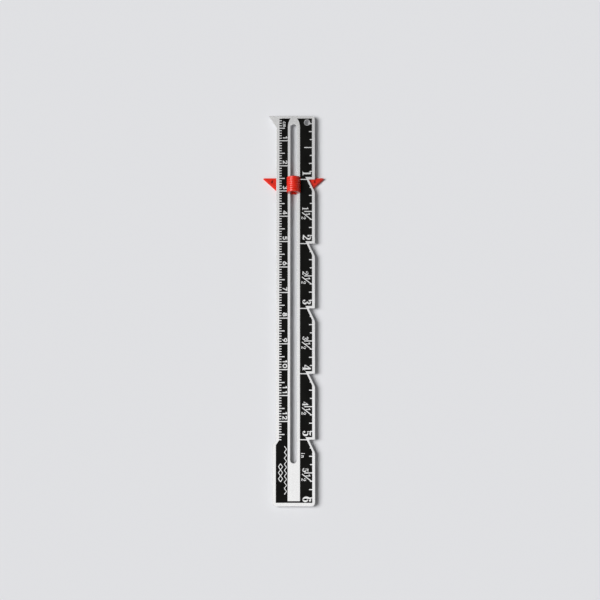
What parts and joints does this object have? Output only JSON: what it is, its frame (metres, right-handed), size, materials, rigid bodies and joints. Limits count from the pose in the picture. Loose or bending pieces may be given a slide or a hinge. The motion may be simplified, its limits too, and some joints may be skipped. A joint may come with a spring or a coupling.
{
  "type": "sewing gauge",
  "caption": "Flat metal sewing and knitting gauge with a stepped inch edge, a straight metric edge, a pointed corner turner, a hanging hole and a sliding pointer in a long slot.",
  "frame": {"origin": "centre of the gauge's length and of the pointer plate's width, on the back of the pointer plate, which is the lowest face", "axes": "+Y along the blade towards the zero end of both scales, +X towards the stepped inch edge, +Z out of the printed face"},
  "size_m": [0.0236, 0.1524, 0.0055],
  "materials": {
    "blade_metal": "satin rolled sheet, fine grain along the blade, edges rolled over by the stamping",
    "scale_ink": "semi-matt black print",
    "slider_plastic": "glossy moulded red"
  },
  "bodies": {
    "blade": {"gauge_blade": "blade_metal", "metric_scale_print": "scale_ink", "inch_scale_print": "scale_ink", "base_panel_print": "scale_ink"},
    "slider": {"pointer_plate": "slider_plastic", "slider_grip": "slider_plastic"}
  },
  "joints": [
    {"name": "reading_slide", "type": "slide", "parent": "blade", "child": "slider", "axis": [0, -1, 0], "range_m": [-0.022, 0.1056]}
  ]
}
